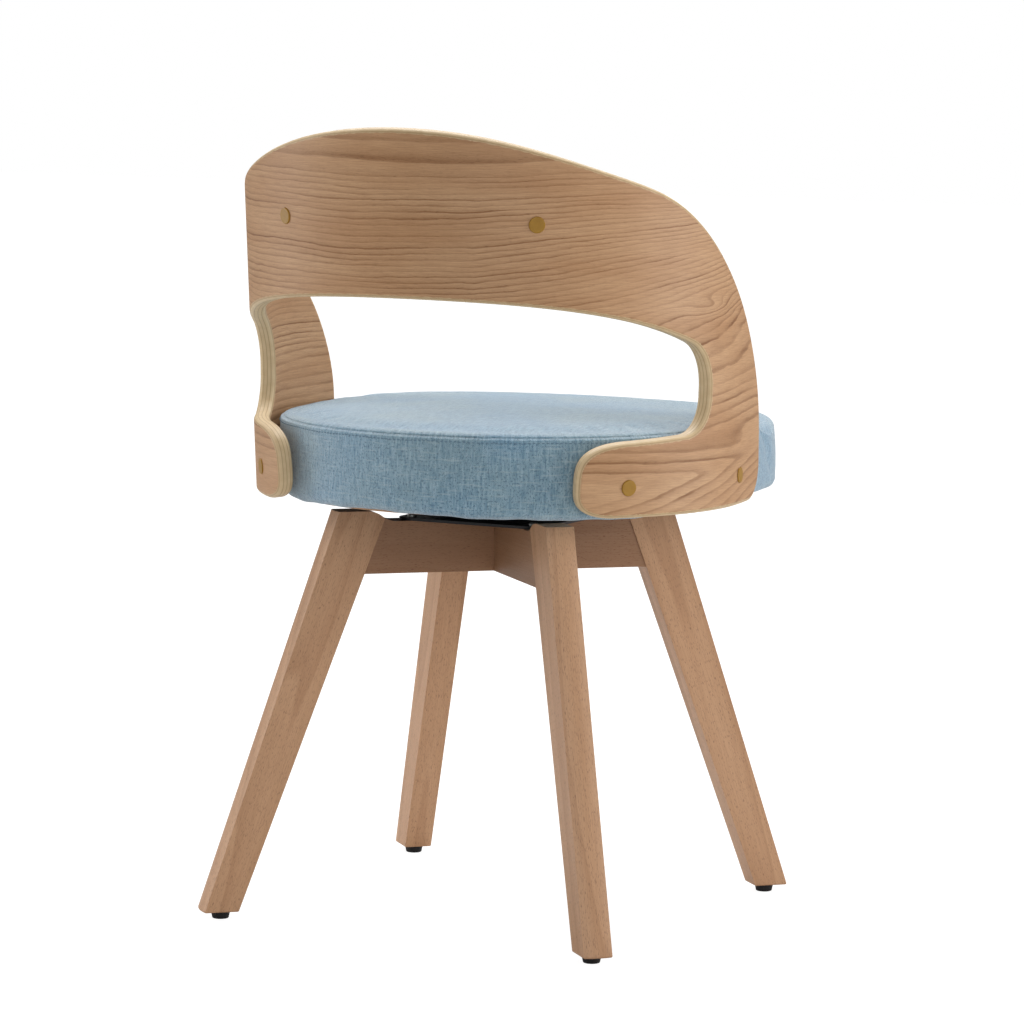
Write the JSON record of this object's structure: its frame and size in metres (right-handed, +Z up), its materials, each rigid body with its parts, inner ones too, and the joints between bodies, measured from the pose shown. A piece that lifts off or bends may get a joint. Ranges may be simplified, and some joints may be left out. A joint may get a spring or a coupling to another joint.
{
  "type": "swivel dining chair",
  "caption": "Swivel dining chair: bent veneered plywood back shell, light blue woven seat, splayed beech legs",
  "frame": {"origin": "on the floor, under the swivel axis", "axes": "+Z up, the sitter faces -Y, +X is the sitter's left; the base stands turned 4.2 degrees under the seat at rest"},
  "size_m": [0.4564, 0.5226, 0.7263],
  "materials": {
    "shell_veneer": "clear satin lacquer on veneered bent plywood",
    "beech": "clear satin lacquer",
    "hidden_plywood": "raw plywood",
    "seat_fabric": "light blue woven upholstery cloth",
    "dust_cloth": "black non-woven cloth",
    "black_plate": "black satin powder coat",
    "black_glide": "black moulded plastic",
    "cap_plastic": "golden brown moulded plastic",
    "zinc_steel": "zinc-plated steel",
    "bearing_steel": "polished steel"
  },
  "bodies": {
    "base": {"leg_rear_left": "beech", "glide_rear_left": "black_glide", "leg_rear_right": "beech", "glide_rear_right": "black_glide", "leg_front_right": "beech", "glide_front_right": "black_glide", "leg_front_left": "beech", "glide_front_left": "black_glide", "cross_rail_lower": "beech", "cross_rail_upper": "beech", "leg_dowels": "beech", "glide_nails": "zinc_steel", "swivel_lower_plate": "black_plate", "swivel_ball_cage": "zinc_steel", "swivel_balls": "bearing_steel", "plate_screws": "zinc_steel"},
    "seat": {"swivel_upper_plate": "black_plate", "swivel_pivot": "zinc_steel", "swivel_washer": "zinc_steel", "plate_bolts": "zinc_steel", "plate_tee_nuts": "zinc_steel", "seat_dust_cover": "dust_cloth", "seat_board": "hidden_plywood", "seat_rim": "hidden_plywood", "seat_cushion": "seat_fabric", "back_shell": "shell_veneer", "lug_spacers": "black_glide", "lug_bolts": "zinc_steel", "lug_tee_nuts": "zinc_steel", "screw_caps": "cap_plastic", "back_pad_board": "hidden_plywood", "back_pad": "seat_fabric", "back_screws": "zinc_steel", "back_tee_nuts": "zinc_steel"}
  },
  "joints": [
    {"name": "seat_swivel", "type": "hinge", "parent": "base", "child": "seat", "pos_m": [0, 0, 0.373], "axis": [0, 0, 1], "continuous": true}
  ]
}
